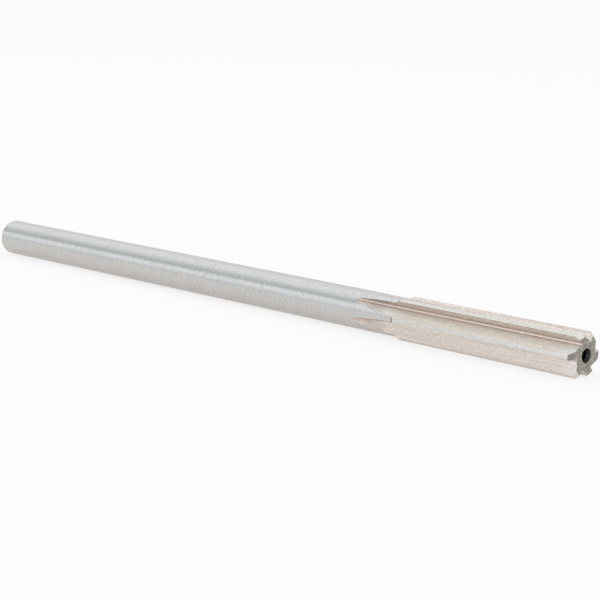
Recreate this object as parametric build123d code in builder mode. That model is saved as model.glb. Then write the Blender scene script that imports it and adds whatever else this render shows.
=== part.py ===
from build123d import *
from math import acos, asin, atan2, cos, degrees, radians, sin, tan
import os

# Straight-shank reamer with straight flutes, lying as it comes to rest on a bench.
# Millimetres. The axis runs along X with the cutting end at +X, and the origin is on
# the bench under the middle of the tool.

# Overall sizes
cutting_diameter = 8.0
shank_diameter = 7.09
overall_length = 152.4
length_of_cut = 37.8
flute_count = 6

# Teeth in cross-section
gullet_radius = 2.36
gullet_fillet = 0.12
rake_angle = 2.0
margin_width = 0.28
relief_width = 0.58
relief_angle = 8.0

# Slanted cutting edges at the front
lead_chamfer = 0.66
lead_chamfer_angle = 45.0
lead_relief_angle = 11.0

# Slope from the teeth down to the shank
back_slope_angle = 30.0

# Grinding wheel that cuts a flute. It keeps its depth along the head and then lifts out of the
# shank, leaving the shape of its rim. Its plane leans this far from the rake face.
wheel_radius = 41.0
wheel_lean = 32.0

# Shank end
butt_chamfer = 0.5

# Centre in each end: a conical seat, a pilot hole and the cone that the drill leaves
centre_mouth_diameter = 2.4
centre_angle = 60.0
pilot_diameter = 1.7
pilot_length = 1.6
drill_point_angle = 118.0

cutting_radius = cutting_diameter / 2
shank_radius = shank_diameter / 2
pitch_angle = 360 / flute_count
face_x = overall_length / 2
butt_x = -overall_length / 2


def polar(radius, angle):
    """Point of a cross-section, at a distance from the axis and an angle in degrees."""
    return Vector(radius * cos(radians(angle)), radius * sin(radians(angle)))


# Corners of one flute, with the cutting edge of its own tooth at angle zero. The rake face
# runs from the edge in to the gullet. The back of the next tooth climbs from there to its
# land, which falls away behind a narrow round margin.
edge = polar(cutting_radius, 0)
gullet_angle = rake_angle - degrees(asin(cutting_radius / gullet_radius * sin(radians(rake_angle))))
gullet = polar(gullet_radius, gullet_angle)
margin_end_angle = pitch_angle - degrees(margin_width / cutting_radius)
margin_end = polar(cutting_radius, margin_end_angle)
heel_angle = margin_end_angle - degrees(relief_width / cutting_radius)
heel = polar(cutting_radius - relief_width * tan(radians(relief_angle)), heel_angle)

# At rest the tool lies on one cutting edge and the heel beside it. The line between the two is
# level, which gives the turn of the teeth about the axis and the height of the axis.
rest_line = heel - edge
rest_angle = degrees(atan2(rest_line.Y, rest_line.X)) - 90
first_edge = polar(1, -90 - rest_angle)
axis_height = max(cutting_radius * cos(radians(rest_angle)), shank_radius)

axis_line = Axis((0, 0, axis_height), (1, 0, 0))
side_plane = Plane(origin=axis_line.position, x_dir=(1, 0, 0), z_dir=(0, -1, 0))
face_plane = Plane(
    origin=(face_x, 0, axis_height), x_dir=(0, first_edge.X, first_edge.Y), z_dir=(1, 0, 0)
)

# One flute as the wheel leaves it: its cross-section drawn along the head, then swung about
# the wheel's own centre where the wheel lifts out of the shank
clear = cutting_diameter
rake_direction = (edge - gullet).normalized()
lift_direction = rake_direction.rotate(Axis.Z, wheel_lean)
lift_plane = face_plane.offset(-length_of_cut)
gullet_point = lift_plane.from_local_coords(gullet)
wheel_hub = lift_plane.from_local_coords(gullet + lift_direction * wheel_radius)
wheel_axis = Axis(wheel_hub, axis_line.direction.cross(gullet_point - wheel_hub))
lift_angle = degrees(acos(1 - clear / wheel_radius))

with BuildPart() as flute:
    with BuildSketch(lift_plane) as section:
        with BuildLine():
            Polyline(
                gullet,
                edge,
                edge + rake_direction * clear,
                margin_end + polar(clear, margin_end_angle),
                margin_end,
                heel,
                close=True,
            )
        make_face()
        fillet(section.vertices().sort_by_distance(gullet)[0], gullet_fillet)
    extrude(amount=length_of_cut + clear)
    revolve(section.sketch, axis=wheel_axis, revolution_arc=lift_angle)

# What is ground off the front of one tooth. The ground face holds the slanted cutting edge and
# falls away behind it by the relief angle.
slant = radians(lead_chamfer_angle)
relief = radians(lead_relief_angle)
bevel_face = Plane(
    origin=(cutting_radius - lead_chamfer, 0, 0),
    x_dir=(sin(slant), 0, -cos(slant)),
    z_dir=(cos(relief) * cos(slant), -sin(relief), cos(relief) * sin(slant)),
)
bevel_width = 2 * cutting_radius * sin(radians(pitch_angle / 2))

with BuildPart() as bevel:
    with BuildSketch(Plane(face_plane.location * bevel_face.location)):
        Rectangle(2 * clear, bevel_width)
    extrude(amount=clear)

# Centre hole, drawn at the cutting end and mirrored for the other end
seat_depth = (centre_mouth_diameter - pilot_diameter) / 2 / tan(radians(centre_angle / 2))
point_depth = pilot_diameter / 2 / tan(radians(drill_point_angle / 2))
pilot_end_x = face_x - seat_depth - pilot_length

with BuildPart() as centres:
    with BuildSketch(side_plane):
        with BuildLine():
            Polyline(
                (face_x, 0),
                (face_x, centre_mouth_diameter / 2),
                (face_x - seat_depth, pilot_diameter / 2),
                (pilot_end_x, pilot_diameter / 2),
                (pilot_end_x - point_depth, 0),
                close=True,
            )
        make_face()
    revolve(axis=axis_line)
    mirror(about=Plane.YZ)

# The tool itself: a turned bar with the slope and the head, then everything cut from it
slope_length = abs(cutting_radius - shank_radius) / tan(radians(back_slope_angle))
head_x = face_x - length_of_cut

with BuildPart() as reamer:
    with BuildSketch(side_plane):
        with BuildLine():
            Polyline(
                (butt_x, 0),
                (butt_x, shank_radius - butt_chamfer),
                (butt_x + butt_chamfer, shank_radius),
                (head_x - slope_length, shank_radius),
                (head_x, cutting_radius),
                (face_x, cutting_radius),
                (face_x, 0),
                close=True,
            )
        make_face()
    revolve(axis=axis_line)
    for tooth in range(flute_count):
        add(flute.part.rotate(axis_line, tooth * pitch_angle), mode=Mode.SUBTRACT)
        add(bevel.part.rotate(axis_line, tooth * pitch_angle), mode=Mode.SUBTRACT)
    add(centres.part, mode=Mode.SUBTRACT)

reamer.part.label = "reamer"
os.makedirs("parts", exist_ok=True)
export_step(reamer.part, "parts/reamer.step")
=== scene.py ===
"""The looks of a straight-shank reamer with straight flutes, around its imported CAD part.

Metres, in the part's own frame: the tool's axis runs along X with the cutting end at +X, and
the tool lies on the plane Z = 0. A point of a cross-section is a complex number, Y + Z * 1j,
measured from the axis. Angles turn from Y towards Z.
"""
import logging
from cmath import phase, rect
from collections.abc import Callable, Mapping, Sequence
from dataclasses import dataclass, field
from enum import Enum
from itertools import accumulate, pairwise
from math import asin, cos, pi, radians, sin, sqrt, tan

import bpy
from mathutils import Euler, Matrix, Vector


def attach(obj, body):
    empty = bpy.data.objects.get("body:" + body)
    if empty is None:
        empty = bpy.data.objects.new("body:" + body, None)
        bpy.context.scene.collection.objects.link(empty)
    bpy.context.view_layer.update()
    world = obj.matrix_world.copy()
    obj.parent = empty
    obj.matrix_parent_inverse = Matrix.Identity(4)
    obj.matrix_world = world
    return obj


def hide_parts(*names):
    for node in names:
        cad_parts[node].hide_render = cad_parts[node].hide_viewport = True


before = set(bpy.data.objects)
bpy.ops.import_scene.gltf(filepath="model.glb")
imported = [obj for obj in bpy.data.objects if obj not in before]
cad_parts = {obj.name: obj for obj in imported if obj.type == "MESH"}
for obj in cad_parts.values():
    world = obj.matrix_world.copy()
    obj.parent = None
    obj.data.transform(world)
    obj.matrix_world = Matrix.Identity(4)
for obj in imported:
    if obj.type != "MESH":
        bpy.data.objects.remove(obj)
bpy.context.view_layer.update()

log = logging.getLogger("reamer")

MM = 0.001
SEARCH_STEPS = 60
Colour = tuple[float, float, float, float]


class Zone(Enum):
    """The parts of the surface, each with a finish of its own."""

    SHANK = 0
    LAND = 1
    RAKE = 2
    GULLET = 3
    FLANK = 4
    BEVEL = 5
    FACE = 6
    CENTRE = 7
    BUTT = 8
    SLOPE = 9


class End(Enum):
    """The ends of the tool, as the way that each one faces along X."""

    CUTTING = 1
    SHANK = -1


class Crowding(Enum):
    """The end of a stretch towards which its steps get shorter."""

    NEITHER = "neither"
    START = "start"
    END = "end"


class GrindingRun(Enum):
    """The way that the marks run, as how fast they change along X, Y and Z."""

    AROUND = (1.0, 0.15, 0.15)
    ALONG = (0.012, 1.0, 1.0)
    ACROSS = (1.0, 1.0, 0.05)


def bisect(crossing: Callable[[float], float], below: float, above: float) -> float:
    """Finds where a function changes sign.

    Args:
        crossing: A function that is negative at one end and positive at the other.
        below: The end where it is negative.
        above: The end where it is positive.

    Returns:
        The place between them where it is zero.
    """
    for _ in range(SEARCH_STEPS):
        middle = (below + above) / 2
        if crossing(middle) < 0:
            below = middle
        else:
            above = middle
    return (below + above) / 2


def spaced(
    start: float, end: float, count: int, crowding: Crowding = Crowding.NEITHER
) -> list[float]:
    """Divides a stretch into steps.

    Args:
        start: Where the stretch starts.
        end: Where it ends.
        count: How many steps it has.
        crowding: Where the steps get shorter.

    Returns:
        The places of the steps, both ends among them.
    """
    places = []
    for step in range(count + 1):
        share = step / count
        if crowding is Crowding.START:
            share = 1 - cos(pi / 2 * share)
        elif crowding is Crowding.END:
            share = sin(pi / 2 * share)
        places.append(start * (1 - share) + end * share)
    return places


def direction(start: complex, end: complex) -> complex:
    """Gives the way from one point of a cross-section to another, as a number of size 1."""
    return (end - start) / abs(end - start)


def placed(name: str, data: bpy.types.ID) -> bpy.types.Object:
    """Puts an object in the scene.

    Args:
        name: The object's name.
        data: Its mesh, lamp or camera.

    Returns:
        The object.
    """
    thing = bpy.data.objects.new(name, data)
    bpy.context.scene.collection.objects.link(thing)
    return thing


@dataclass
class Flute:
    """The section of one flute, and the grinding wheel that cuts it and lifts out of the shank.

    The section starts at a cutting edge at angle 0. It goes in along the rake face, round the
    gullet, out along the back of the next tooth and over that tooth's relief to its margin.
    """

    cutting_radius: float = 4.0 * MM
    gullet_radius: float = 2.36 * MM
    gullet_fillet: float = 0.12 * MM
    rake_angle: float = radians(2.0)
    margin_width: float = 0.28 * MM
    relief_width: float = 0.58 * MM
    relief_angle: float = radians(8.0)
    count: int = 6
    wheel_radius: float = 41.0 * MM
    wheel_lean: float = radians(32.0)

    # The angle from tooth to tooth, the section's corners, and the ways of its walls and of the
    # wheel's lift
    pitch: float = field(init=False)
    edge: complex = field(init=False)
    gullet: complex = field(init=False)
    heel: complex = field(init=False)
    margin_end: complex = field(init=False)
    rake: complex = field(init=False)
    back: complex = field(init=False)
    lift: complex = field(init=False)

    # The fillet's centre, its spoke to where it starts, and how far along the section things are
    fillet_centre: complex = field(init=False)
    fillet_spoke: complex = field(init=False)
    fillet_start: float = field(init=False)
    fillet_end: float = field(init=False)
    heel_at: float = field(init=False)
    end_at: float = field(init=False)

    def __post_init__(self) -> None:
        """Works out the corners of the section and how far along it they are."""
        self.pitch = 2 * pi / self.count
        self.edge = complex(self.cutting_radius)
        gullet_lag = asin(self.cutting_radius / self.gullet_radius * sin(self.rake_angle))
        self.gullet = rect(self.gullet_radius, self.rake_angle - gullet_lag)
        margin_end_angle = self.pitch - self.margin_width / self.cutting_radius
        self.margin_end = rect(self.cutting_radius, margin_end_angle)
        heel_radius = self.cutting_radius - self.relief_width * tan(self.relief_angle)
        self.heel = rect(heel_radius, margin_end_angle - self.relief_width / self.cutting_radius)

        self.rake = direction(self.gullet, self.edge)
        self.back = direction(self.gullet, self.heel)
        self.lift = self.rake * rect(1, self.wheel_lean)
        half_corner = phase(self.back / self.rake) / 2
        tangent = self.gullet_fillet / tan(half_corner)
        bisector = direction(0, self.rake + self.back)
        self.fillet_centre = self.gullet + bisector * self.gullet_fillet / sin(half_corner)
        self.fillet_spoke = self.gullet + self.rake * tangent - self.fillet_centre

        self.fillet_start = abs(self.edge - self.gullet) - tangent
        self.fillet_end = self.fillet_start + (pi - 2 * half_corner) * self.gullet_fillet
        self.heel_at = self.fillet_end + abs(self.heel - self.gullet) - tangent
        self.end_at = self.heel_at + abs(self.margin_end - self.heel)

    def point(self, at: float) -> complex:
        """Gives a point of the section.

        Args:
            at: How far along the section it is, from the cutting edge.

        Returns:
            The point.
        """
        if at <= self.fillet_start:
            return self.edge - self.rake * at
        if at <= self.fillet_end:
            turn = (self.fillet_start - at) / self.gullet_fillet
            return self.fillet_centre + self.fillet_spoke * rect(1, turn)
        if at <= self.heel_at:
            return self.heel - self.back * (self.heel_at - at)
        share = (at - self.heel_at) / (self.end_at - self.heel_at)
        return self.heel + (self.margin_end - self.heel) * share

    def from_gullet(self, at: float) -> float:
        """Gives how far a point of the section is out of the gullet, along the flute's wall."""
        return max(self.fillet_start - at, at - self.fillet_end, 0.0)

    def lifted(self, at: float, past: float) -> complex:
        """Gives a point of the section where the wheel lifts out.

        Args:
            at: How far along the section the point is.
            past: How far behind the head it is, below 0 on the head.

        Returns:
            The point, raised with the rim of the wheel.
        """
        place = self.point(at)
        if past <= 0:
            return place
        reach = self.wheel_radius - ((place - self.gullet) * self.lift.conjugate()).real
        return place + self.lift * (reach - sqrt(reach**2 - past**2))

    def deepest(self, past: float) -> float:
        """Finds where in the gullet the section comes nearest to the axis.

        Args:
            past: How far behind the head the section is.

        Returns:
            How far along the section that place is.
        """
        low, high = self.fillet_start, self.fillet_end
        for _ in range(SEARCH_STEPS):
            third = (high - low) / 3
            if abs(self.lifted(low + third, past)) < abs(self.lifted(high - third, past)):
                high -= third
            else:
                low += third
        return (low + high) / 2

    def span(self, past: float, radius: float) -> tuple[float, float]:
        """Finds the part of the section that lies inside the bar.

        Args:
            past: How far behind the head the section is.
            radius: The bar's radius there.

        Returns:
            Where that part starts and ends along the section.
        """

        def outside(at: float) -> float:
            """Gives how far outside the bar a point of the section is."""
            return abs(self.lifted(at, past)) - radius

        middle = self.deepest(past)
        if outside(middle) >= 0:
            return middle, middle
        if past <= 0:
            return 0.0, self.end_at
        return bisect(outside, middle, 0.0), bisect(outside, middle, self.end_at)


@dataclass
class Bevel:
    """The slanted cutting edge at the front of a tooth, with its relief."""

    flute: Flute
    depth: float = 0.66 * MM
    angle: float = radians(45.0)
    relief_angle: float = radians(11.0)

    def set_back(self, place: complex, tooth: int) -> float:
        """Gives how far the bevel sets a tooth back from the front of the tool.

        Args:
            place: A point in cross-section.
            tooth: 0 for the tooth at the sector's start, 1 for the one at its end.

        Returns:
            The distance behind the front, which is below 0 inside the bevel's edge.
        """
        local = place * rect(1, -tooth * self.flute.pitch)
        out = (local.real - self.flute.cutting_radius + self.depth) * cos(self.angle)
        around = local.imag * tan(self.relief_angle)
        return (out - around) / sin(self.angle)

    def meets(self, start: float, end: float, tooth: int) -> float:
        """Finds where along the section the bevel's edge meets it, between two places."""
        return bisect(lambda at: self.set_back(self.flute.point(at), tooth), start, end)


@dataclass
class SectorMesh:
    """The points and faces of one sector of the tool. Points in the same place are one point."""

    tolerance: float = 1e-9
    points: list[tuple[float, float, float]] = field(default_factory=list)
    faces: list[list[int]] = field(default_factory=list)
    zones: list[int] = field(default_factory=list)
    creases: set[frozenset[int]] = field(default_factory=set)
    from_gullet: list[float] = field(default_factory=list)
    numbers: dict[tuple[int, ...], int] = field(default_factory=dict)

    def point(self, x: float, place: complex, away: float = 0.0) -> int:
        """Adds a point, or finds the one that is there already.

        Args:
            x: Its place along the axis.
            place: Its place in cross-section.
            away: How far out of the gullet it is, along the flute's wall.

        Returns:
            The point's number.
        """
        corner = (x, place.real, place.imag)
        key = tuple(round(value / self.tolerance) for value in corner)
        if key not in self.numbers:
            self.numbers[key] = len(self.points)
            self.points.append(corner)
            self.from_gullet.append(away)
        return self.numbers[key]

    def row(self, x: float, places: Sequence[complex]) -> list[int]:
        """Adds a row of points at one place along the axis and returns their numbers."""
        return [self.point(x, place) for place in places]

    def place(self, number: int) -> complex:
        """Gives the place of a point in cross-section."""
        return complex(*self.points[number][1:])

    def turned(self, row: Sequence[int], angle: float) -> list[int]:
        """Adds a copy of a row of points, turned about the axis.

        Args:
            row: The numbers of the row's points.
            angle: How far the copy is turned.

        Returns:
            The numbers of the copy's points.
        """
        copy = []
        for number in row:
            place = self.place(number) * rect(1, angle)
            copy.append(self.point(self.points[number][0], place, self.from_gullet[number]))
        return copy

    def face(self, corners: Sequence[int], zone: Zone) -> None:
        """Adds a face, unless it has shrunk to a line or a point.

        Args:
            corners: The numbers of its corners, in order.
            zone: The face's zone.
        """
        kept = list(dict.fromkeys(corners))
        if len(kept) > 2:
            self.faces.append(kept)
            self.zones.append(zone.value)

    def strip(self, first: Sequence[int], second: Sequence[int], zones: Sequence[Zone]) -> None:
        """Joins two rows by faces, one for each step along them.

        Args:
            first: The row that comes first on the way from the front centre to the shank's.
            second: The row that follows it.
            zones: The zone of each face.
        """
        for (a, b), (c, d), zone in zip(pairwise(first), pairwise(second), zones):
            self.face([c, d, b, a], zone)

    def crease(self, line: Sequence[int]) -> None:
        """Marks the edges along a line of points as sharp."""
        self.creases.update(frozenset(pair) for pair in pairwise(line) if pair[0] != pair[1])

    def mesh(self, name: str) -> bpy.types.Mesh:
        """Makes the Blender mesh, with the zones and the ways out of the gullet as attributes.

        Args:
            name: The mesh's name.

        Returns:
            The mesh.
        """
        mesh = bpy.data.meshes.new(name)
        mesh.from_pydata(self.points, [], self.faces)
        mesh.shade_smooth()
        for edge in mesh.edges:
            edge.use_edge_sharp = frozenset(edge.vertices) in self.creases
        zone = mesh.attributes.new("zone", "INT", "FACE")
        zone.data.foreach_set("value", self.zones)
        away = mesh.attributes.new("from_gullet", "FLOAT", "POINT")
        away.data.foreach_set("value", self.from_gullet)
        return mesh


@dataclass(frozen=True)
class Stretch:
    """A stretch of the section in one zone, and the steps that it is divided into."""

    start: float
    end: float
    zone: Zone
    count: int
    crowding: Crowding = Crowding.NEITHER


@dataclass
class ReamerSector:
    """One tooth space and the bar behind it, from the front centre to the shank's end.

    A row of its points starts at a cutting edge, and goes through the flute and on round the bar
    to the next cutting edge. The place of a point in the row is its column.
    """

    flute: Flute
    bevel: Bevel
    overall_length: float = 152.4 * MM
    length_of_cut: float = 37.8 * MM
    shank_radius: float = 3.545 * MM
    slope_angle: float = radians(30.0)
    butt_chamfer: float = 0.5 * MM

    # The centre in each end, by half angles, and where the front one's rows of points start
    mouth_radius: float = 1.2 * MM
    pilot_radius: float = 0.85 * MM
    seat_angle: float = radians(30.0)
    pilot_length: float = 1.6 * MM
    point_angle: float = radians(59.0)
    mouth_lag: float = radians(-14.0)

    # How finely the head, the slope, the run-out, the plain shank, the bar's round and the
    # bevel's inner edge are divided
    head_step: float = 4.0 * MM
    slope_steps: int = 4
    run_out_steps: int = 44
    shank_steps: int = 26
    bar_steps: int = 16
    slant_steps: int = 6

    # The mesh that is being built
    made: SectorMesh = field(init=False)

    # Places along the axis, and how far behind the head the slope and the run-out end
    face_x: float = field(init=False)
    head_x: float = field(init=False)
    slope_length: float = field(init=False)
    run_out: float = field(init=False)

    # The stretches of the flute, and the columns where the bevels' edges cross the rake face and
    # the tooth's back, where the heel is and where the bar's round starts
    stretches: tuple[Stretch, ...] = field(init=False)
    rake_column: int = field(init=False)
    back_column: int = field(init=False)
    heel_column: int = field(init=False)
    bar_column: int = field(init=False)

    def __post_init__(self) -> None:
        """Works out the places along the axis, and the stretches and columns of a row."""
        flute = self.flute
        self.face_x = self.overall_length / 2
        self.head_x = self.face_x - self.length_of_cut
        self.slope_length = (flute.cutting_radius - self.shank_radius) / tan(self.slope_angle)
        lift_limit = sqrt(2 * flute.wheel_radius * flute.cutting_radius)
        self.run_out = bisect(self.shallow, 0, lift_limit)

        rake_cut = self.bevel.meets(flute.fillet_start, 0, tooth=0)
        back_cut = self.bevel.meets(flute.fillet_end, flute.heel_at, tooth=1)
        self.stretches = (
            Stretch(0, rake_cut, Zone.RAKE, count=4),
            Stretch(rake_cut, flute.fillet_start, Zone.RAKE, count=7, crowding=Crowding.END),
            Stretch(flute.fillet_start, flute.fillet_end, Zone.GULLET, count=10),
            Stretch(flute.fillet_end, back_cut, Zone.FLANK, count=12, crowding=Crowding.START),
            Stretch(back_cut, flute.heel_at, Zone.FLANK, count=5),
            Stretch(flute.heel_at, flute.end_at, Zone.LAND, count=3),
        )
        ends = list(accumulate(stretch.count for stretch in self.stretches))
        self.rake_column, _, _, self.back_column, self.heel_column, self.bar_column = ends

    def radius(self, past: float) -> float:
        """Gives the bar's radius at a distance behind the head."""
        down = min(max(past, 0), self.slope_length)
        return self.flute.cutting_radius - down * tan(self.slope_angle)

    def above_bar(self, past: float) -> float:
        """Gives how far the heel would stand out of the bar, below 0 where it is inside."""
        return abs(self.flute.heel) - self.radius(past)

    def shallow(self, past: float) -> float:
        """Gives how far the flute's deepest point is outside the shank, below 0 where it cuts."""
        return abs(self.flute.lifted(self.flute.deepest(past), past)) - self.shank_radius

    def stations(self) -> list[tuple[float, Zone]]:
        """Lists the rows behind the front one. The slope's first is where it has cut the heel off.

        Returns:
            How far behind the head each row is, and the zone of the bar just ahead of it.
        """
        head_rows = int(self.length_of_cut // self.head_step)
        head = [-number * self.head_step for number in range(head_rows, -1, -1)]
        heel_gone = bisect(self.above_bar, 0, self.slope_length)
        slope = spaced(heel_gone, self.slope_length, self.slope_steps)
        run_out = spaced(self.slope_length, self.run_out, self.run_out_steps, Crowding.END)
        shank_end = self.overall_length - self.length_of_cut - self.butt_chamfer
        shank = spaced(self.run_out, shank_end, self.shank_steps)
        zones = {Zone.LAND: head, Zone.SLOPE: slope, Zone.SHANK: run_out[1:] + shank[1:]}
        return [(past, zone) for zone, pasts in zones.items() for past in pasts]

    def section(self, past: float) -> tuple[list[complex], list[float]]:
        """Lays out the points of one row.

        Args:
            past: How far behind the head the row is.

        Returns:
            The points, and how far each of them is out of the gullet.
        """
        radius = self.radius(past)
        past = min(past, self.run_out)
        first, last = self.flute.span(past, radius)
        ats: list[float] = []
        for stretch in self.stretches:
            start, end = (min(max(at, first), last) for at in (stretch.start, stretch.end))
            ats += spaced(start, end, stretch.count, stretch.crowding)[:-1]
        ats.append(last)
        flute = [self.flute.lifted(at, past) for at in ats]
        angles = spaced(phase(flute[-1]), phase(flute[0]) + self.flute.pitch, self.bar_steps)
        bar = [rect(radius, angle) for angle in angles[1:]]
        aways = [self.flute.from_gullet(at) for at in ats] + [self.flute.end_at] * len(bar)
        return flute + bar, aways

    def front(self) -> list[int]:
        """Adds the row at the front, set back by the bevels at the teeth.

        Returns:
            The row.
        """
        row = []
        for column, (place, away) in enumerate(zip(*self.section(-self.length_of_cut))):
            behind = 0.0
            if column < self.rake_column:
                behind = self.bevel.set_back(place, tooth=0)
            elif column > self.back_column:
                behind = self.bevel.set_back(place, tooth=1)
            row.append(self.made.point(self.face_x - behind, place, away))
        self.made.crease(row)
        return row

    def along(self, front: Sequence[int]) -> list[int]:
        """Adds the flute and the bar all along the tool.

        Args:
            front: The row at the front.

        Returns:
            The row at the shank's end.
        """
        made = self.made
        flute_zones = [stretch.zone for stretch in self.stretches for _ in range(stretch.count)]
        last_row, last_zone = front, Zone.LAND
        fluted = [front]
        for past, zone in self.stations():
            row = [made.point(self.head_x - past, *point) for point in zip(*self.section(past))]
            made.strip(last_row, row, flute_zones + [zone] * self.bar_steps)
            if zone is not last_zone:
                made.crease(last_row[self.bar_column:])
            if past <= self.run_out:
                fluted.append(row)
            last_row, last_zone = row, zone
        for column in (0, self.heel_column, self.bar_column, -1):
            made.crease([row[column] for row in fluted])
        return last_row

    def bevel_face(self, front: Sequence[int]) -> list[int]:
        """Adds the bevel of the next tooth.

        Args:
            front: The row at the front.

        Returns:
            The outline of the end face.
        """
        made = self.made
        tooth_back = front[self.back_column:]
        next_front = made.turned(front[: self.rake_column + 1], self.flute.pitch)
        start, end = made.place(tooth_back[0]), made.place(next_front[-1])
        shares = [step / self.slant_steps for step in range(self.slant_steps + 1)]
        slant = made.row(self.face_x, [start + (end - start) * share for share in shares])
        made.face([*tooth_back, *next_front[1:], *reversed(slant[1:-1])], Zone.BEVEL)
        made.crease(slant)
        made.crease(next_front)
        return [*front[self.rake_column: self.back_column], *slant]

    def cutting_end(self, outline: Sequence[int]) -> None:
        """Adds the end face and the centre at the cutting end.

        Args:
            outline: The end face's outer row of points.
        """
        places = [self.made.place(number) for number in outline]
        steps = (abs(two - one) for one, two in pairwise(places))
        lengths = list(accumulate(steps, initial=0.0))
        angles = [self.mouth_lag + self.flute.pitch * length / lengths[-1] for length in lengths]
        self.centre(End.CUTTING, outline, angles)

    def butt(self, last_row: Sequence[int]) -> None:
        """Adds the chamfer, the end face and the centre at the shank's end.

        Args:
            last_row: The row at the shank's end.
        """
        made = self.made
        bar = last_row[self.bar_column:]
        shrunk = 1 - self.butt_chamfer / self.shank_radius
        places = [made.place(number) * shrunk for number in bar]
        outline = made.row(-self.face_x, places)
        made.crease(bar)
        made.crease(outline)
        made.strip(bar, outline, [Zone.BUTT] * self.bar_steps)
        self.centre(End.SHANK, outline, [phase(place) for place in places])

    def centre(self, end: End, outline: Sequence[int], angles: Sequence[float]) -> None:
        """Adds an end face and the centre hole in it.

        Args:
            end: The end that they are at.
            outline: The end face's outer row of points.
            angles: The angle of each of the hole's points.
        """
        seat_depth = (self.mouth_radius - self.pilot_radius) / tan(self.seat_angle)
        pilot_depth = seat_depth + self.pilot_length
        point_depth = pilot_depth + self.pilot_radius / tan(self.point_angle)
        row = outline
        for depth, radius, zone in (
            (0.0, self.mouth_radius, Zone.FACE if end is End.CUTTING else Zone.BUTT),
            (seat_depth, self.pilot_radius, Zone.CENTRE),
            (pilot_depth, self.pilot_radius, Zone.CENTRE),
            (point_depth, 0.0, Zone.CENTRE),
        ):
            x = end.value * (self.face_x - depth)
            inner = self.made.row(x, [rect(radius, angle) for angle in angles])
            self.made.crease(inner)
            rows = (inner, row) if end is End.CUTTING else (row, inner)
            self.made.strip(*rows, [zone] * (len(angles) - 1))
            row = inner

    def build(self) -> SectorMesh:
        """Builds the sector.

        Returns:
            The sector's points and faces, about the axis through Y = Z = 0.
        """
        self.made = SectorMesh()
        front = self.front()
        last_row = self.along(front)
        self.cutting_end(self.bevel_face(front))
        self.butt(last_row)
        return self.made


class Signal:
    """A node's output that can be used in Python arithmetic."""

    def __init__(self, graph: "Graph", socket: bpy.types.NodeSocket | None) -> None:
        """Keeps the graph and the output, which the node at a tree's end doesn't have."""
        self.graph = graph
        self.socket = socket

    def out(self, name: str | int) -> "Signal":
        """Gives another output of the same node."""
        return Signal(self.graph, self.socket.node.outputs[name])

    def _math(self, operation: str, *values: "Signal | float") -> "Signal":
        """Adds a Math node and returns its output."""
        inputs = dict(enumerate(values))
        return self.graph.node("ShaderNodeMath", {"operation": operation}, inputs)

    def __add__(self, other: "Signal | float") -> "Signal":
        """Adds a signal or a number."""
        return self._math("ADD", self, other)

    __radd__ = __add__

    def __sub__(self, other: "Signal | float") -> "Signal":
        """Takes away a signal or a number."""
        return self._math("SUBTRACT", self, other)

    def __rsub__(self, other: float) -> "Signal":
        """Takes this signal away from a number."""
        return self._math("SUBTRACT", other, self)

    def __mul__(self, other: "Signal | float") -> "Signal":
        """Multiplies by a signal or a number."""
        return self._math("MULTIPLY", self, other)

    __rmul__ = __mul__

    def __truediv__(self, other: "Signal | float") -> "Signal":
        """Divides by a signal or a number."""
        return self._math("DIVIDE", self, other)

    def __rtruediv__(self, other: float) -> "Signal":
        """Divides a number by this signal."""
        return self._math("DIVIDE", other, self)

    def __abs__(self) -> "Signal":
        """Gives the size without the sign."""
        return self._math("ABSOLUTE", self)

    def larger(self, other: "Signal") -> "Signal":
        """Gives the larger of this signal and another."""
        return self._math("MAXIMUM", self, other)

    def angle_from(self, other: "Signal") -> "Signal":
        """Gives the angle of a direction, this being its rise and the other its run."""
        return self._math("ARCTAN2", self, other)


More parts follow.
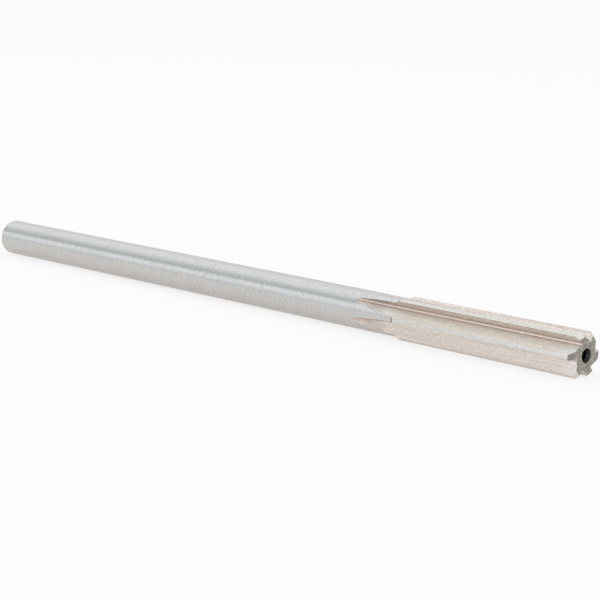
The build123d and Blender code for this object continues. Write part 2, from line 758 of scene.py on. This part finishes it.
class Graph:
    """Adds nodes to one node tree.

    A Mix or Compare node has sockets of one name for each type of value, so those go by number.
    """

    MIX_SHARE, MIX_FIRST, MIX_SECOND = 0, 6, 7
    MIXED = 2
    COMPARE_FIRST, COMPARE_SECOND = 2, 3

    def __init__(self, tree: bpy.types.NodeTree) -> None:
        """Starts with an empty tree."""
        self.tree = tree
        tree.nodes.clear()

    def node(
        self,
        kind: str,
        settings: Mapping[str, object] | None = None,
        inputs: Mapping[str | int, object] | None = None,
    ) -> Signal:
        """Adds a node.

        Args:
            kind: Blender's name for the type of node.
            settings: The node's own settings, which are set first.
            inputs: The values of its inputs, or the signals that feed them.

        Returns:
            The node's first output.
        """
        node = self.tree.nodes.new(kind)
        for name, value in (settings or {}).items():
            setattr(node, name, value)
        for name, value in (inputs or {}).items():
            if isinstance(value, Signal):
                self.tree.links.new(value.socket, node.inputs[name])
            else:
                node.inputs[name].default_value = value
        return Signal(self, node.outputs[0] if node.outputs else None)

    def mix(
        self,
        share: Signal | float,
        first: Signal | Colour,
        second: Signal | Colour,
        blend: str = "MIX",
    ) -> Signal:
        """Mixes two colours.

        Args:
            share: How much of the second there is.
            first: The first colour.
            second: The second colour.
            blend: Blender's name for the way they are mixed.

        Returns:
            The mixed colour.
        """
        settings = {"data_type": "RGBA", "blend_type": blend}
        inputs = {self.MIX_SHARE: share, self.MIX_FIRST: first, self.MIX_SECOND: second}
        return self.node("ShaderNodeMix", settings, inputs).out(self.MIXED)

    def tinted(self, colour: Signal, tint: Colour) -> Signal:
        """Multiplies a colour by a tint."""
        return self.mix(1.0, colour, tint, "MULTIPLY")

    def fade(self, value: Signal, start: float, end: float) -> Signal:
        """Gives 0 before the start, 1 past the end, and a smooth change between them."""
        inputs = {"Value": value, "From Min": start, "From Max": end}
        return self.node("ShaderNodeMapRange", {"interpolation_type": "SMOOTHSTEP"}, inputs)

    def equal(self, value: Signal, number: int) -> Signal:
        """Tells whether a whole number has a certain value."""
        inputs = {self.COMPARE_FIRST: value, self.COMPARE_SECOND: number}
        return self.node("FunctionNodeCompare", {"data_type": "INT", "operation": "EQUAL"}, inputs)


@dataclass(frozen=True)
class PaintedShading:
    """A tint that comes in along the tool, between a place on the axis and another: painted shade
    where it darkens, a painted highlight where it lightens.
    """

    start: float
    end: float
    tint: Colour


@dataclass(frozen=True)
class GroundSteel:
    """Steel as a grinding wheel or a turning tool leaves it, with its marks running one way.

    Its tone swings between the colour and the stain, by broad streaks and a fine grain. Next to the
    gullet it may take painted shade, and along the tool tints of painted shade and painted
    highlights.
    """

    name: str
    run: GrindingRun
    colour: Colour
    stain: Colour
    roughness: float
    streak_width: float = 0.30 * MM
    streak_depth: float = 0.0008 * MM
    line_width: float = 0.06 * MM
    line_depth: float = 0.0008 * MM
    grain_width: float = 0.24 * MM
    grain_share: float = 0.6
    grain_stretch: float = 0.2
    streak_detail: float = 3.0
    line_detail: float = 2.0
    grain_detail: float = 1.0
    finer_share: float = 0.6
    darkest_mark: float = 0.3
    palest_mark: float = 0.7
    roughness_swing: float = 0.08
    # Painted shade: a darker tint next to the gullet, where the flute's corner lies in shade
    painted_gullet_shade: Colour | None = None
    shaded_to: float = 0.20 * MM
    clear_from: float = 0.65 * MM
    painted_shadings: tuple[PaintedShading, ...] = ()

    def marks(
        self, graph: Graph, place: Signal, width: float, detail: float, stretch: float = 1.0
    ) -> Signal:
        """Draws the marks of the wheel or the turning tool.

        Args:
            graph: The material's nodes.
            place: The place on the piece.
            width: The width of a mark.
            detail: How many finer layers the marks have.
            stretch: How much they follow the way the tool ran, from 0 to 1.

        Returns:
            The marks, from 0 to 1.
        """
        run = tuple(part**stretch for part in self.run.value)
        multiply = {"operation": "MULTIPLY"}
        stretched = graph.node("ShaderNodeVectorMath", multiply, {0: place, 1: run})
        sizes = {"Scale": 1 / width, "Detail": detail, "Roughness": self.finer_share}
        return graph.node("ShaderNodeTexNoise", inputs={"Vector": stretched, **sizes})

    def coloured(self, graph: Graph, place: Signal, tone: Signal) -> Signal:
        """Colours the steel, and paints any shade and highlights that it has next to the gullet and
        along the tool.

        Args:
            graph: The material's nodes.
            place: The place on the piece.
            tone: How far the colour is from the stain's, from 0 to 1.

        Returns:
            The colour.
        """
        colour = graph.mix(tone, self.stain, self.colour)
        # Painted shade: the colour darkens next to the gullet and clears farther out along the
        # flute's wall
        if self.painted_gullet_shade:
            away = graph.node("ShaderNodeAttribute", {"attribute_name": "from_gullet"}).out("Fac")
            clear = graph.fade(away, self.shaded_to, self.clear_from)
            colour = graph.mix(clear, graph.tinted(colour, self.painted_gullet_shade), colour)
        # Painted shade and painted highlights along the tool, each tint coming in between two places
        # on the axis
        along = graph.node("ShaderNodeSeparateXYZ", inputs={"Vector": place}).out("X")
        for shading in self.painted_shadings:
            reached = graph.fade(along, shading.start, shading.end)
            colour = graph.mix(reached, colour, graph.tinted(colour, shading.tint))
        return colour

    def material(self) -> bpy.types.Material:
        """Builds the finish.

        Returns:
            The material.
        """
        material = bpy.data.materials.new(self.name)
        material.use_nodes = True
        graph = Graph(material.node_tree)
        place = graph.node("ShaderNodeTexCoord").out("Object")
        streaks = self.marks(graph, place, self.streak_width, self.streak_detail)
        streaks = graph.fade(streaks, self.darkest_mark, self.palest_mark)
        lines = self.marks(graph, place, self.line_width, self.line_detail)
        grain = self.marks(graph, place, self.grain_width, self.grain_detail, self.grain_stretch)
        grain = graph.fade(grain, self.darkest_mark, self.palest_mark)
        tone = streaks * (1 - self.grain_share) + grain * self.grain_share
        colour = self.coloured(graph, place, tone)
        roughness = self.roughness + (0.5 - tone) * self.roughness_swing
        bump = {"Distance": self.streak_depth, "Height": streaks}
        broad = graph.node("ShaderNodeBump", inputs=bump)
        bump = {"Distance": self.line_depth, "Height": lines, "Normal": broad}
        relief = graph.node("ShaderNodeBump", inputs=bump)
        looks = {"Base Color": colour, "Roughness": roughness, "Normal": relief}
        surface = graph.node("ShaderNodeBsdfPrincipled", inputs={**looks, "Metallic": 1.0})
        graph.node("ShaderNodeOutputMaterial", inputs={"Surface": surface})
        return material


FINISHES: dict[Zone, GroundSteel] = {
    Zone.SHANK: GroundSteel(
        name="shank_ground_round",
        run=GrindingRun.AROUND,
        colour=(0.735, 0.748, 0.750, 1),
        stain=(0.615, 0.629, 0.630, 1),
        roughness=0.24,
        grain_width=0.40 * MM,
        roughness_swing=0.03,
        streak_width=0.45 * MM,
        streak_depth=0.0004 * MM,
        line_width=0.09 * MM,
    ),
    Zone.LAND: GroundSteel(
        name="lands_ground",
        run=GrindingRun.ALONG,
        colour=(0.86, 0.835, 0.805, 1),
        stain=(0.66, 0.635, 0.605, 1),
        roughness=0.26,
        streak_width=0.35 * MM,
        streak_depth=0.0010 * MM,
    ),
    Zone.RAKE: GroundSteel(
        name="rake_faces_ground",
        run=GrindingRun.ALONG,
        colour=(0.87, 0.80, 0.735, 1),
        stain=(0.59, 0.53, 0.48, 1),
        roughness=0.18,
        # Painted shade: the rake faces darken and cool where the flute runs out, darkest near its tip
        painted_shadings=(
            PaintedShading(start=40.0 * MM, end=33.0 * MM, tint=(0.85, 0.88, 0.90, 1)),
            PaintedShading(start=29.5 * MM, end=28.0 * MM, tint=(0.75, 0.76, 0.78, 1)),
        ),
        streak_depth=0.0012 * MM,
        line_width=0.05 * MM,
    ),
    Zone.GULLET: GroundSteel(
        name="gullets_ground_painted_highlight",
        run=GrindingRun.ALONG,
        # The near-white colour is partly a painted highlight, brightening the highlight line along
        # the gullet's fillet
        colour=(0.98, 0.93, 0.88, 1),
        stain=(0.92, 0.87, 0.82, 1),
        roughness=0.28,
        # Painted shade: the gullets darken where the flute runs out
        painted_shadings=(PaintedShading(start=38.0 * MM, end=25.0 * MM, tint=(0.60, 0.585, 0.59, 1)),),
        line_width=0.05 * MM,
        line_depth=0.0006 * MM,
    ),
    Zone.FLANK: GroundSteel(
        name="tooth_backs_ground",
        run=GrindingRun.ALONG,
        colour=(0.87, 0.82, 0.77, 1),
        stain=(0.64, 0.595, 0.55, 1),
        roughness=0.48,
        # Painted light along the tool: a painted highlight, lighter and cooler, at the front end of
        # the teeth; painted shade where the flute starts to run out; lighter and cooler again near
        # the run-out's tip
        painted_shadings=(
            PaintedShading(start=71.0 * MM, end=75.5 * MM, tint=(1.04, 1.09, 1.15, 1)),
            PaintedShading(start=36.2 * MM, end=33.4 * MM, tint=(0.81, 0.785, 0.77, 1)),
            PaintedShading(start=30.0 * MM, end=27.5 * MM, tint=(1.10, 1.14, 1.17, 1)),
        ),
        # Painted shade next to the gullet
        painted_gullet_shade=(0.81, 0.72, 0.67, 1),
        streak_depth=0.0014 * MM,
        line_width=0.05 * MM,
        line_depth=0.0010 * MM,
    ),
    Zone.BEVEL: GroundSteel(
        name="bevels_ground",
        run=GrindingRun.ACROSS,
        colour=(0.88, 0.87, 0.85, 1),
        stain=(0.78, 0.77, 0.75, 1),
        roughness=0.20,
        streak_width=0.12 * MM,
        streak_depth=0.0005 * MM,
        line_width=0.04 * MM,
        line_depth=0.0006 * MM,
    ),
    Zone.FACE: GroundSteel(
        name="end_face_ground",
        run=GrindingRun.ACROSS,
        colour=(0.58, 0.57, 0.52, 1),
        stain=(0.22, 0.214, 0.19, 1),
        roughness=0.45,
        grain_share=0.85,
        grain_stretch=0.0,
    ),
    Zone.CENTRE: GroundSteel(
        name="centre_holes_painted_shade",
        run=GrindingRun.AROUND,
        # Painted shade: the near-black colour stands in for the shade deep in the centre holes
        colour=(0.075, 0.078, 0.078, 1),
        stain=(0.045, 0.046, 0.046, 1),
        roughness=0.5,
        streak_width=0.20 * MM,
        streak_depth=0.0010 * MM,
        line_width=0.05 * MM,
        line_depth=0.0010 * MM,
    ),
    Zone.SLOPE: GroundSteel(
        name="back_slopes_turned",
        run=GrindingRun.AROUND,
        colour=(0.44, 0.44, 0.44, 1),
        stain=(0.34, 0.34, 0.34, 1),
        roughness=0.35,
        streak_width=0.20 * MM,
    ),
    Zone.BUTT: GroundSteel(
        name="butt_turned",
        run=GrindingRun.ACROSS,
        colour=(0.62, 0.62, 0.61, 1),
        stain=(0.56, 0.56, 0.55, 1),
        roughness=0.32,
    ),
}


@dataclass(frozen=True)
class SectorRing:
    """The node tree that repeats one sector around the axis and lays the tool on its teeth."""

    count: int
    first_angle: float
    axis_height: float
    merge_distance: float = 1e-7

    def tree(self, finishes: Mapping[Zone, bpy.types.Material]) -> bpy.types.NodeTree:
        """Builds the Geometry Nodes tree.

        Args:
            finishes: The material of each zone.

        Returns:
            The tree, with an input for each of its sizes.
        """
        tree = bpy.data.node_groups.new("sectors_around_axis", "GeometryNodeTree")
        graph = Graph(tree)
        for name, kind in (
            ("Sector", "NodeSocketGeometry"),
            ("Sector Count", "NodeSocketInt"),
            ("First Edge Angle", "NodeSocketFloat"),
            ("Axis Height", "NodeSocketFloat"),
            ("Merge Distance", "NodeSocketFloat"),
        ):
            tree.interface.new_socket(name, in_out="INPUT", socket_type=kind)
        tree.interface.new_socket("Tool", in_out="OUTPUT", socket_type="NodeSocketGeometry")
        given = graph.node("NodeGroupInput")
        count = given.out("Sector Count")

        index = graph.node("GeometryNodeInputIndex")
        turn = index * (2 * pi / count) + given.out("First Edge Angle")
        rotation = graph.node("ShaderNodeCombineXYZ", inputs={"X": turn})
        spots = graph.node("GeometryNodePoints", inputs={"Count": count})
        ring = graph.node(
            "GeometryNodeInstanceOnPoints",
            inputs={"Points": spots, "Instance": given.out("Sector"), "Rotation": rotation},
        )
        height = graph.node("ShaderNodeCombineXYZ", inputs={"Z": given.out("Axis Height")})
        lifted = graph.node("GeometryNodeTransform", inputs={"Geometry": ring, "Translation": height})
        real = graph.node("GeometryNodeRealizeInstances", inputs={"Geometry": lifted})
        shape = graph.node(
            "GeometryNodeMergeByDistance",
            inputs={"Geometry": real, "Distance": given.out("Merge Distance")},
        )
        zone = graph.node("GeometryNodeInputNamedAttribute", {"data_type": "INT"}, {"Name": "zone"})
        for kind, finish in finishes.items():
            chosen = graph.equal(zone, kind.value)
            shape = graph.node(
                "GeometryNodeSetMaterial",
                inputs={"Geometry": shape, "Selection": chosen, "Material": finish},
            )
        graph.node("NodeGroupOutput", inputs={"Tool": shape})
        return tree

    def mesh(
        self, sector: bpy.types.Mesh, finishes: Mapping[Zone, bpy.types.Material]
    ) -> bpy.types.Mesh:
        """Repeats the sector.

        Args:
            sector: The mesh of one sector.
            finishes: The material of each zone.

        Returns:
            The plain mesh of the whole tool.
        """
        sector.materials.append(finishes[Zone.SHANK])
        carrier = placed("sector", sector)
        modifier = carrier.modifiers.new("sectors", "NODES")
        tree = self.tree(finishes)
        modifier.node_group = tree
        values = {
            "Sector Count": self.count,
            "First Edge Angle": self.first_angle,
            "Axis Height": self.axis_height,
            "Merge Distance": self.merge_distance,
        }
        for item in tree.interface.items_tree:
            if item.name in values:
                modifier[item.identifier] = values[item.name]
        graph = bpy.context.evaluated_depsgraph_get()
        whole = bpy.data.meshes.new_from_object(carrier.evaluated_get(graph), depsgraph=graph)
        carrier.modifiers.clear()
        bpy.data.objects.remove(carrier)
        return whole


@dataclass
class Reamer:
    """The whole tool: one piece of ground steel."""

    flute: Flute = field(default_factory=Flute)
    name: str = "ground_reamer"

    def rest(self) -> tuple[float, float]:
        """Works out how the tool lies on the bench, on one tooth's edge and the next one's heel.

        Returns:
            The angle of the first cutting edge, and the height of the axis.
        """
        line = self.flute.heel - self.flute.edge
        tilt = phase(line) - pi / 2
        return -pi / 2 - tilt, self.flute.cutting_radius * cos(tilt)

    def build(self) -> bpy.types.Object:
        """Builds the tool's mesh and puts it in place of the CAD solid.

        Returns:
            The tool's object.
        """
        finishes = {zone: finish.material() for zone, finish in FINISHES.items()}
        sector = ReamerSector(self.flute, Bevel(self.flute)).build()
        first_angle, axis_height = self.rest()
        ring = SectorRing(self.flute.count, first_angle, axis_height)
        tool = placed(self.name, ring.mesh(sector.mesh("sector"), finishes))
        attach(tool, "root")
        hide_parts("reamer")
        return tool


@dataclass(frozen=True)
class SoftBox:
    """A long soft box beside the tool, by the angles that it fills about the tool's axis.

    Angles are in degrees, from the far side over the top to the camera's side. The edge is half
    the width over which the box fades into what is beside it.
    """

    centre: float
    half_width: float
    edge: float
    colour: Colour


@dataclass(frozen=True)
class Lamp:
    """A soft box that stands in the studio as a lamp of its own, aimed at the tool."""

    name: str
    place: tuple[float, float, float]
    size: tuple[float, float]
    power: float

    def build(self) -> None:
        """Sets up the lamp."""
        light = bpy.data.lights.new(self.name, "AREA")
        light.shape = "RECTANGLE"
        light.size, light.size_y = self.size
        light.energy = self.power
        lamp = placed(self.name, light)
        lamp.location = self.place
        lamp.rotation_euler = (-Vector(self.place)).to_track_quat("-Z", "Y").to_euler()


@dataclass(frozen=True)
class Studio:
    """A plain pale floor in a soft, even studio."""

    camera_place: tuple[float, float, float]
    white: Colour = (1.0, 1.0, 1.0, 1)

    # The floor, with how much of it is a glow of its own to the camera and to the mirroring tool
    floor_size: float = 12.0
    floor_colour: Colour = (0.82, 0.865, 0.87, 1)
    glow_colour: Colour = (0.935, 0.81, 0.755, 1)
    floor_lift: float = 0.75
    mirrored_lift: float = 0.51

    # The world: soft boxes along the tool, gaps, ends that start at this share of X in a
    # direction, and an opening round the camera, in degrees
    gap_colour: Colour = (0.58, 0.60, 0.61, 1)
    boxes: tuple[SoftBox, ...] = (
        SoftBox(centre=5.0, half_width=40.0, edge=8.0, colour=(0.73, 0.75, 0.74, 1)),
        SoftBox(centre=75.0, half_width=34.0, edge=23.0, colour=(0.965, 0.97, 0.955, 1)),
        SoftBox(centre=158.0, half_width=15.0, edge=7.0, colour=(0.965, 0.97, 0.985, 1)),
        SoftBox(centre=148.5, half_width=4.0, edge=4.0, colour=(1.08, 1.085, 1.10, 1)),
    )
    end_colour: Colour = (0.25, 0.25, 0.25, 1)
    end_from: float = 0.86
    end_to: float = 0.96
    opening_colour: Colour = (0.05, 0.05, 0.05, 1)
    opening_from: float = 20.0
    opening_to: float = 10.0
    lamps: tuple[Lamp, ...] = (
        Lamp(name="overhead_box", place=(-0.1, -0.3, 1.2), size=(1.6, 1.2), power=1.8),
        Lamp(name="front_box", place=(0.15, -1.0, 0.12), size=(1.2, 0.24), power=2.2),
    )

    def world(self) -> None:
        """Lights the scene all round, by the soft boxes and the darker gaps between them.

        The ends and an opening round the camera are dark. The camera itself sees white.
        """
        world = bpy.data.worlds.new("studio")
        bpy.context.scene.world = world
        world.use_nodes = True
        graph = Graph(world.node_tree)
        ray = graph.node("ShaderNodeTexCoord").out("Generated")
        parts = graph.node("ShaderNodeSeparateXYZ", inputs={"Vector": ray})
        around = parts.out("Z").angle_from(parts.out("Y"))
        colour: Signal | Colour = self.gap_colour
        for box in self.boxes:
            centre, half, edge = radians(box.centre), radians(box.half_width), radians(box.edge)
            lit = 1 - graph.fade(abs(around - centre), half - edge, half + edge)
            colour = graph.mix(lit, colour, box.colour)
        ends = graph.fade(abs(parts.out("X")), self.end_from, self.end_to)
        colour = graph.mix(ends, colour, self.end_colour)
        towards = {"operation": "DOT_PRODUCT"}
        lens = Vector(self.camera_place).normalized()
        facing = graph.node("ShaderNodeVectorMath", towards, {0: ray, 1: lens}).out("Value")
        opening = graph.fade(facing, cos(radians(self.opening_from)), cos(radians(self.opening_to)))
        colour = graph.mix(opening, colour, self.opening_colour)
        seen = graph.node("ShaderNodeLightPath").out("Is Camera Ray")
        colour = graph.mix(seen, colour, self.white)
        light = graph.node("ShaderNodeBackground", inputs={"Color": colour})
        graph.node("ShaderNodeOutputWorld", inputs={"Surface": light})

    def floor(self) -> None:
        """Lays the floor."""
        half = self.floor_size / 2
        mesh = bpy.data.meshes.new("floor")
        corners = [(-half, -half, 0), (half, -half, 0), (half, half, 0), (-half, half, 0)]
        mesh.from_pydata(corners, [], [(0, 1, 2, 3)])
        material = bpy.data.materials.new("pale_floor")
        material.use_nodes = True
        graph = Graph(material.node_tree)
        path = graph.node("ShaderNodeLightPath")
        camera = path.out("Is Camera Ray")
        mirrored = path.out("Is Glossy Ray").larger(path.out("Is Transmission Ray"))
        lit_colour = graph.mix(camera, self.floor_colour, self.white)
        lit = graph.node("ShaderNodeBsdfDiffuse", inputs={"Color": lit_colour})
        glow_colour = graph.mix(camera, self.glow_colour, self.white)
        glow = graph.node("ShaderNodeEmission", inputs={"Color": glow_colour})
        seen = camera * self.floor_lift + mirrored * self.mirrored_lift
        surface = graph.node("ShaderNodeMixShader", inputs={0: seen, 1: lit, 2: glow})
        graph.node("ShaderNodeOutputMaterial", inputs={"Surface": surface})
        mesh.materials.append(material)
        floor = placed("floor", mesh)

    def build(self) -> None:
        """Builds the studio."""
        self.world()
        self.floor()
        for lamp in self.lamps:
            lamp.build()


@dataclass(frozen=True)
class Camera:
    """The camera, where the photograph was taken from."""

    place: tuple[float, float, float] = (237.597 * MM, -226.619 * MM, 63.069 * MM)
    heading: float = radians(44.860)
    pitch: float = radians(-10.658)
    roll: float = radians(1.4425)
    focal_length: float = 106.588
    sensor_width: float = 36.0
    nearest: float = 0.01
    farthest: float = 100.0

    def build(self) -> None:
        """Sets up the camera and gives it to the scene."""
        data = bpy.data.cameras.new("camera")
        data.lens = self.focal_length
        data.sensor_width = self.sensor_width
        data.clip_start, data.clip_end = self.nearest, self.farthest
        camera = placed("camera", data)
        aim = Euler((pi / 2 + self.pitch, 0, self.heading)).to_matrix()
        aim @= Matrix.Rotation(self.roll, 3, "Z")
        camera.matrix_world = Matrix.Translation(self.place) @ aim.to_4x4()
        bpy.context.scene.camera = camera


def main() -> None:
    """Builds the tool, the studio and the camera, and notes the sizes."""
    logging.basicConfig(level=logging.INFO, format="%(name)s: %(message)s")
    bpy.context.scene.view_settings.view_transform = "Standard"
    tool = Reamer().build()
    faces, finishes = len(tool.data.polygons), len(tool.data.materials)
    log.info("%s has %d faces and %d finishes", tool.name, faces, finishes)
    camera = Camera()
    Studio(camera.place).build()
    log.info("the studio is lit")
    camera.build()
    log.info("the camera is in place")


if __name__ == "__main__":
    main()
